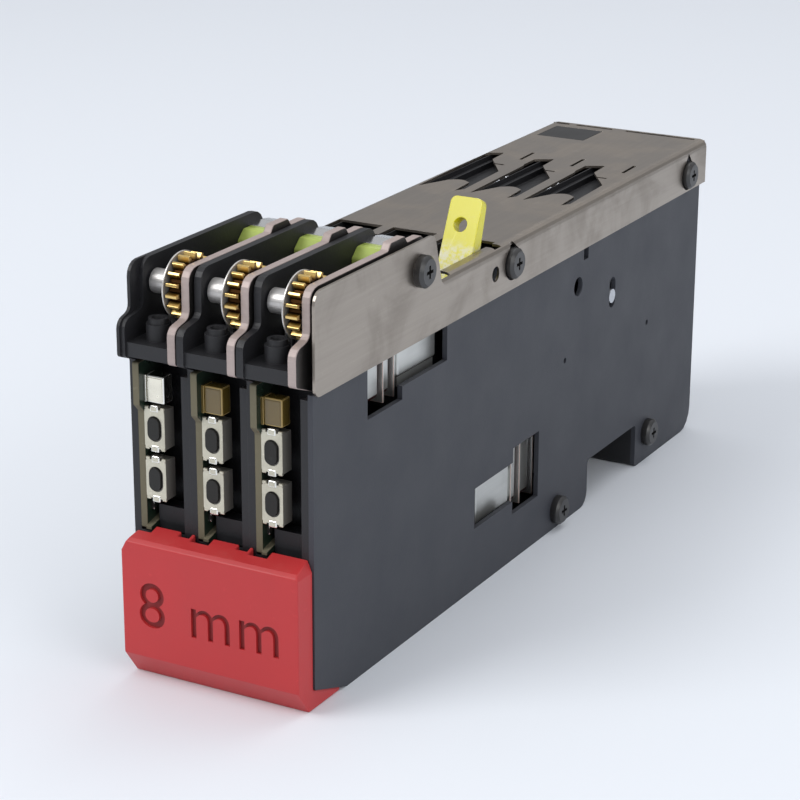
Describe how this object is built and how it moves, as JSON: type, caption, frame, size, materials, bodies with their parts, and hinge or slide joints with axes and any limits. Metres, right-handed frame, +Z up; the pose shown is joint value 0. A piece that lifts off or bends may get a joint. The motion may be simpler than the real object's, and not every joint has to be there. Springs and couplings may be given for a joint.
{
  "type": "smt tape feeder",
  "caption": "Slim tape feeder for a pick-and-place machine: black lane frames with brass peel gears, keypads, folded steel cover, slate side panel and red front cap.",
  "frame": {"origin": "middle of the base, under the centre of the unit's length and width, on the surface it stands on", "axes": "+X to the side panel's side, +Y from the keypad end to the rear, +Z up"},
  "size_m": [0.0399, 0.175, 0.0774],
  "materials": {
    "slate_steel": "dark slate grey powder coat",
    "stainless": "satin stainless sheet",
    "red_plastic": "moulded, satin",
    "black_plastic": "glass filled nylon, matte with worn edges",
    "plate_steel": "stamped plate, dark, bright edges",
    "board": "circuit board laminate",
    "switch_metal": "plated tact switch frame",
    "key_rubber": "black",
    "amber": "smoked amber",
    "motor_metal": "bright, with dark red windings",
    "brass": "cut, oiled",
    "dark_gear": "moulded gear, oiled",
    "bright_steel": "bright steel",
    "guide_plastic": "moulded",
    "anchor_plastic": "moulded yellow-green",
    "spring_steel": "polished spring strip",
    "black_oxide": "black oxide screws",
    "yellow_plastic": "moulded bright yellow"
  },
  "bodies": {
    "root": {"top_cover": "stainless", "side_panel": "slate_steel", "front_cap": "red_plastic", "lane_frame_1": "black_plastic", "lane_frame_2": "black_plastic", "lane_frame_3": "black_plastic", "peel_plate_1": "plate_steel", "peel_plate_2": "plate_steel", "peel_plate_3": "plate_steel", "circuit_board_1": "board", "circuit_board_2": "board", "circuit_board_3": "board", "switch_upper_1": "switch_metal", "switch_upper_2": "switch_metal", "switch_upper_3": "switch_metal", "switch_lower_1": "switch_metal", "switch_lower_2": "switch_metal", "switch_lower_3": "switch_metal", "indicator_1": "amber", "indicator_2": "amber", "indicator_3": "amber", "peel_motor_1": "motor_metal", "peel_motor_2": "motor_metal", "peel_motor_3": "motor_metal", "feed_motor_1": "motor_metal", "feed_motor_2": "motor_metal", "feed_motor_3": "motor_metal", "tape_guide_1": "guide_plastic", "tape_guide_2": "guide_plastic", "tape_guide_3": "guide_plastic", "spring_anchor_1": "anchor_plastic", "spring_anchor_2": "anchor_plastic", "spring_anchor_3": "anchor_plastic", "leaf_springs": "spring_steel", "gear_axles": "bright_steel", "sprocket_axle": "bright_steel", "tie_rods": "black_oxide", "cover_screws": "black_oxide", "panel_screws": "black_oxide", "lever_pin": "bright_steel", "lever_spring": "spring_steel"},
    "peel_gear_1": {"peel_gear_1": "brass"},
    "pinch_gear_1": {"pinch_gear_1": "dark_gear"},
    "sprocket_1": {"sprocket_1": "bright_steel"},
    "feed_pinion_1": {"feed_pinion_1": "bright_steel"},
    "button_upper_1": {"button_upper_1": "key_rubber"},
    "button_lower_1": {"button_lower_1": "key_rubber"},
    "peel_gear_2": {"peel_gear_2": "brass"},
    "pinch_gear_2": {"pinch_gear_2": "dark_gear"},
    "sprocket_2": {"sprocket_2": "bright_steel"},
    "feed_pinion_2": {"feed_pinion_2": "bright_steel"},
    "button_upper_2": {"button_upper_2": "key_rubber"},
    "button_lower_2": {"button_lower_2": "key_rubber"},
    "peel_gear_3": {"peel_gear_3": "brass"},
    "pinch_gear_3": {"pinch_gear_3": "dark_gear"},
    "sprocket_3": {"sprocket_3": "bright_steel"},
    "feed_pinion_3": {"feed_pinion_3": "bright_steel"},
    "button_upper_3": {"button_upper_3": "key_rubber"},
    "button_lower_3": {"button_lower_3": "key_rubber"},
    "catch_lever": {"catch_lever": "yellow_plastic"}
  },
  "joints": [
    {"name": "peel_gear_1_turn", "type": "hinge", "parent": "root", "child": "peel_gear_1", "pos_m": [-0.0101, -0.0762, 0.0714], "axis": [1, 0, 0], "continuous": true},
    {"name": "pinch_gear_1_turn", "type": "hinge", "parent": "root", "child": "pinch_gear_1", "pos_m": [-0.0101, -0.06997, 0.06258], "axis": [1, 0, 0], "continuous": true},
    {"name": "sprocket_1_turn", "type": "hinge", "parent": "root", "child": "sprocket_1", "pos_m": [-0.0105, 0.0395, 0.04335], "axis": [1, 0, 0], "continuous": true},
    {"name": "feed_pinion_1_turn", "type": "hinge", "parent": "root", "child": "feed_pinion_1", "pos_m": [-0.0107, 0.02394, 0.0278], "axis": [1, 0, 0], "continuous": true},
    {"name": "button_upper_1_press", "type": "slide", "parent": "root", "child": "button_upper_1", "axis": [0, 1, 0], "range_m": [0, 0.0003], "stiffness_N_per_m": 600},
    {"name": "button_lower_1_press", "type": "slide", "parent": "root", "child": "button_lower_1", "axis": [0, 1, 0], "range_m": [0, 0.0003], "stiffness_N_per_m": 600},
    {"name": "peel_gear_2_turn", "type": "hinge", "parent": "root", "child": "peel_gear_2", "pos_m": [0.0019, -0.0762, 0.0714], "axis": [1, 0, 0], "continuous": true},
    {"name": "pinch_gear_2_turn", "type": "hinge", "parent": "root", "child": "pinch_gear_2", "pos_m": [0.0019, -0.06997, 0.06258], "axis": [1, 0, 0], "continuous": true},
    {"name": "sprocket_2_turn", "type": "hinge", "parent": "root", "child": "sprocket_2", "pos_m": [0.0015, 0.0395, 0.04335], "axis": [1, 0, 0], "continuous": true},
    {"name": "feed_pinion_2_turn", "type": "hinge", "parent": "root", "child": "feed_pinion_2", "pos_m": [0.0013, 0.02394, 0.0278], "axis": [1, 0, 0], "continuous": true},
    {"name": "button_upper_2_press", "type": "slide", "parent": "root", "child": "button_upper_2", "axis": [0, 1, 0], "range_m": [0, 0.0003], "stiffness_N_per_m": 600},
    {"name": "button_lower_2_press", "type": "slide", "parent": "root", "child": "button_lower_2", "axis": [0, 1, 0], "range_m": [0, 0.0003], "stiffness_N_per_m": 600},
    {"name": "peel_gear_3_turn", "type": "hinge", "parent": "root", "child": "peel_gear_3", "pos_m": [0.0139, -0.0762, 0.0714], "axis": [1, 0, 0], "continuous": true},
    {"name": "pinch_gear_3_turn", "type": "hinge", "parent": "root", "child": "pinch_gear_3", "pos_m": [0.0139, -0.06997, 0.06258], "axis": [1, 0, 0], "continuous": true},
    {"name": "sprocket_3_turn", "type": "hinge", "parent": "root", "child": "sprocket_3", "pos_m": [0.0135, 0.0395, 0.04335], "axis": [1, 0, 0], "continuous": true},
    {"name": "feed_pinion_3_turn", "type": "hinge", "parent": "root", "child": "feed_pinion_3", "pos_m": [0.0133, 0.02394, 0.0278], "axis": [1, 0, 0], "continuous": true},
    {"name": "button_upper_3_press", "type": "slide", "parent": "root", "child": "button_upper_3", "axis": [0, 1, 0], "range_m": [0, 0.0003], "stiffness_N_per_m": 600},
    {"name": "button_lower_3_press", "type": "slide", "parent": "root", "child": "button_lower_3", "axis": [0, 1, 0], "range_m": [0, 0.0003], "stiffness_N_per_m": 600},
    {"name": "catch_lever_swing", "type": "hinge", "parent": "root", "child": "catch_lever", "pos_m": [0.0128, -0.023, 0.059], "axis": [-1, 0, 0], "range_deg": [0, 15], "stiffness_Nm_per_rad": 0.02}
  ],
  "couplings": [
    {"joint": "pinch_gear_1_turn", "follows": "peel_gear_1_turn", "ratio": -1},
    {"joint": "feed_pinion_1_turn", "follows": "sprocket_1_turn", "ratio": -3.4},
    {"joint": "pinch_gear_2_turn", "follows": "peel_gear_2_turn", "ratio": -1},
    {"joint": "feed_pinion_2_turn", "follows": "sprocket_2_turn", "ratio": -3.4},
    {"joint": "pinch_gear_3_turn", "follows": "peel_gear_3_turn", "ratio": -1},
    {"joint": "feed_pinion_3_turn", "follows": "sprocket_3_turn", "ratio": -3.4}
  ]
}
